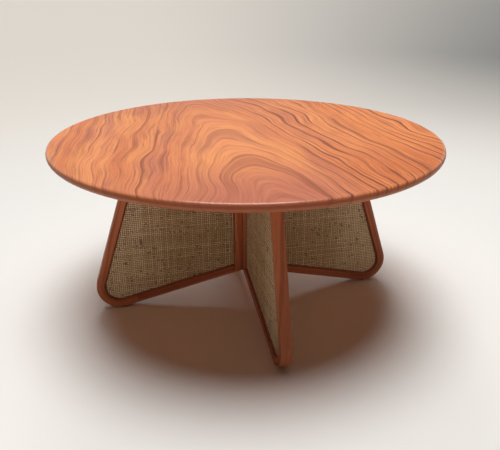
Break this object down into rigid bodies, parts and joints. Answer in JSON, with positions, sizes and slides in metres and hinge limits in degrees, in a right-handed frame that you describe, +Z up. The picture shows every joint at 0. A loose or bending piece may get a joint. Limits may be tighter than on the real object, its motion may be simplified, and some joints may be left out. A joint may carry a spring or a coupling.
{
  "type": "coffee table",
  "caption": "Low round coffee table: a wooden top with a bullnose edge on a cross of leaning framed fins filled with a coarse woven panel, each with a rounded foot.",
  "frame": {"origin": "on the floor under the middle of the top", "axes": "+Z up through the middle of the top; the fins lie along +X (right), +Y (back), -X (left) and -Y (front)"},
  "size_m": [0.9, 0.9, 0.415],
  "materials": {
    "top_wood": "satin oil on an orange-brown hardwood with a broad wavy figure",
    "frame_wood": "satin, reddish dark brown",
    "panel_board": "plain, seen only through the weave",
    "woven_cane": "coarse plain weave of olive-brown strands, matt",
    "reed_spline": "dark stained reed",
    "fastener_steel": "zinc plated",
    "glide_nylon": "black nylon"
  },
  "bodies": {
    "root": {"tabletop": "top_wood", "hub_post": "frame_wood", "left_outer_stile": "frame_wood", "left_inner_stile": "frame_wood", "left_top_rail": "frame_wood", "left_bottom_rail": "frame_wood", "left_panel_board": "panel_board", "left_weave_a": "woven_cane", "left_weave_b": "woven_cane", "left_spline_a": "reed_spline", "left_spline_b": "reed_spline", "left_foot_glide": "glide_nylon", "left_hub_key": "frame_wood", "left_top_fastener": "fastener_steel", "left_rail_screw": "fastener_steel", "left_top_screw": "fastener_steel", "front_outer_stile": "frame_wood", "front_inner_stile": "frame_wood", "front_top_rail": "frame_wood", "front_bottom_rail": "frame_wood", "front_panel_board": "panel_board", "front_weave_a": "woven_cane", "front_weave_b": "woven_cane", "front_spline_a": "reed_spline", "front_spline_b": "reed_spline", "front_foot_glide": "glide_nylon", "front_hub_key": "frame_wood", "front_top_fastener": "fastener_steel", "front_rail_screw": "fastener_steel", "front_top_screw": "fastener_steel", "right_outer_stile": "frame_wood", "right_inner_stile": "frame_wood", "right_top_rail": "frame_wood", "right_bottom_rail": "frame_wood", "right_panel_board": "panel_board", "right_weave_a": "woven_cane", "right_weave_b": "woven_cane", "right_spline_a": "reed_spline", "right_spline_b": "reed_spline", "right_foot_glide": "glide_nylon", "right_hub_key": "frame_wood", "right_top_fastener": "fastener_steel", "right_rail_screw": "fastener_steel", "right_top_screw": "fastener_steel", "back_outer_stile": "frame_wood", "back_inner_stile": "frame_wood", "back_top_rail": "frame_wood", "back_bottom_rail": "frame_wood", "back_panel_board": "panel_board", "back_weave_a": "woven_cane", "back_weave_b": "woven_cane", "back_spline_a": "reed_spline", "back_spline_b": "reed_spline", "back_foot_glide": "glide_nylon", "back_hub_key": "frame_wood", "back_top_fastener": "fastener_steel", "back_rail_screw": "fastener_steel", "back_top_screw": "fastener_steel"}
  },
  "joints": []
}
